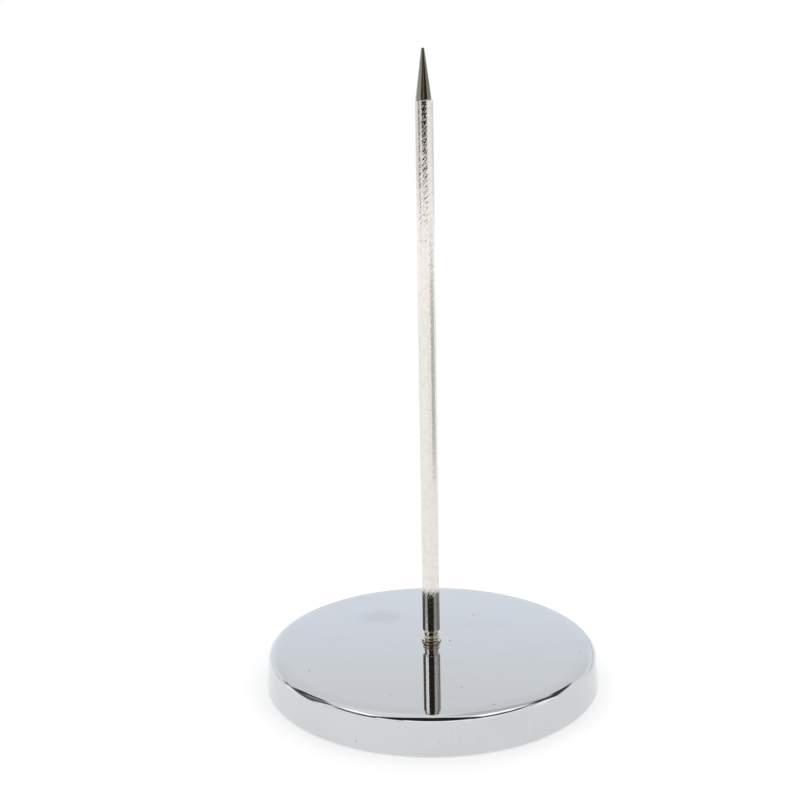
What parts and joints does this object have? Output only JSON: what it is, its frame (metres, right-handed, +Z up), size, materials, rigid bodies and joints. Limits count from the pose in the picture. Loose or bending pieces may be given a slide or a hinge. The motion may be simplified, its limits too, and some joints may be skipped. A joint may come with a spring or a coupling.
{
  "type": "receipt spike",
  "caption": "Desk receipt spike: a pointed steel rod, threaded at its foot, screwed into a weighted round chrome base that stands on a soft pad.",
  "frame": {"origin": "on the table, under the middle of the base", "axes": "+Z up along the spike to its point; -Y towards the viewer of the picture; +X to the viewer's right"},
  "size_m": [0.077, 0.077, 0.1418],
  "materials": {
    "nickel_steel": "bright nickel plate, with a ground bare-steel point",
    "ring_steel": "satin",
    "chrome_shell": "mirror chrome plate",
    "cast_weight": "rough, as cast",
    "zinc_steel": "zinc plate",
    "foam_pad": "matt soft rubber"
  },
  "bodies": {
    "base": {"base_shell": "chrome_shell", "ballast_disc": "cast_weight", "hex_nut": "zinc_steel", "foot_pad": "foam_pad"},
    "ring": {"thread_ring": "ring_steel"},
    "spike": {"spike": "nickel_steel"}
  },
  "joints": [
    {"name": "spike_turn", "type": "hinge", "parent": "base", "child": "ring", "pos_m": [0, 0, 0.0083], "axis": [0, 0, 1], "range_deg": [-1260, 1260]},
    {"name": "spike_rise", "type": "slide", "parent": "ring", "child": "spike", "axis": [0, 0, 1], "range_m": [-0.00244, 0.00244]}
  ],
  "couplings": [
    {"joint": "spike_turn", "follows": "spike_rise", "rad_per_m": 8976}
  ]
}
